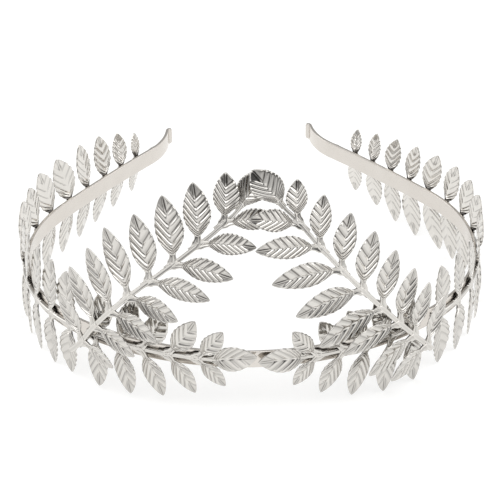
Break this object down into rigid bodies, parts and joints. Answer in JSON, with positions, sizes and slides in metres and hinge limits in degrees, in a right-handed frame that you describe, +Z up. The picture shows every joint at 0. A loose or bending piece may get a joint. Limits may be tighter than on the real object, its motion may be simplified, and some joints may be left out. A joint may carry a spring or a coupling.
{
  "type": "leaf headband",
  "caption": "Open metal headband on edge, with pressed leaf sprays along its sides and front and two more that rise and cross over the forehead.",
  "frame": {"origin": "on the surface the headband stands on, below the middle of its bounding box", "axes": "+X across the head towards the wearer's left, +Y from the forehead to the open back, +Z up"},
  "size_m": [0.1461, 0.1369, 0.0777],
  "materials": {
    "band_silver": "smooth warm silver plating, softly polished",
    "leaf_silver": "pressed silver plating, bright on the veins and dark in the grooves"
  },
  "bodies": {
    "root": {"band": "band_silver", "peak_spray_left": "leaf_silver", "peak_spray_right": "leaf_silver", "front_spray_left": "leaf_silver", "front_spray_right": "leaf_silver", "side_spray_left": "leaf_silver", "side_spray_right": "leaf_silver"}
  },
  "joints": []
}
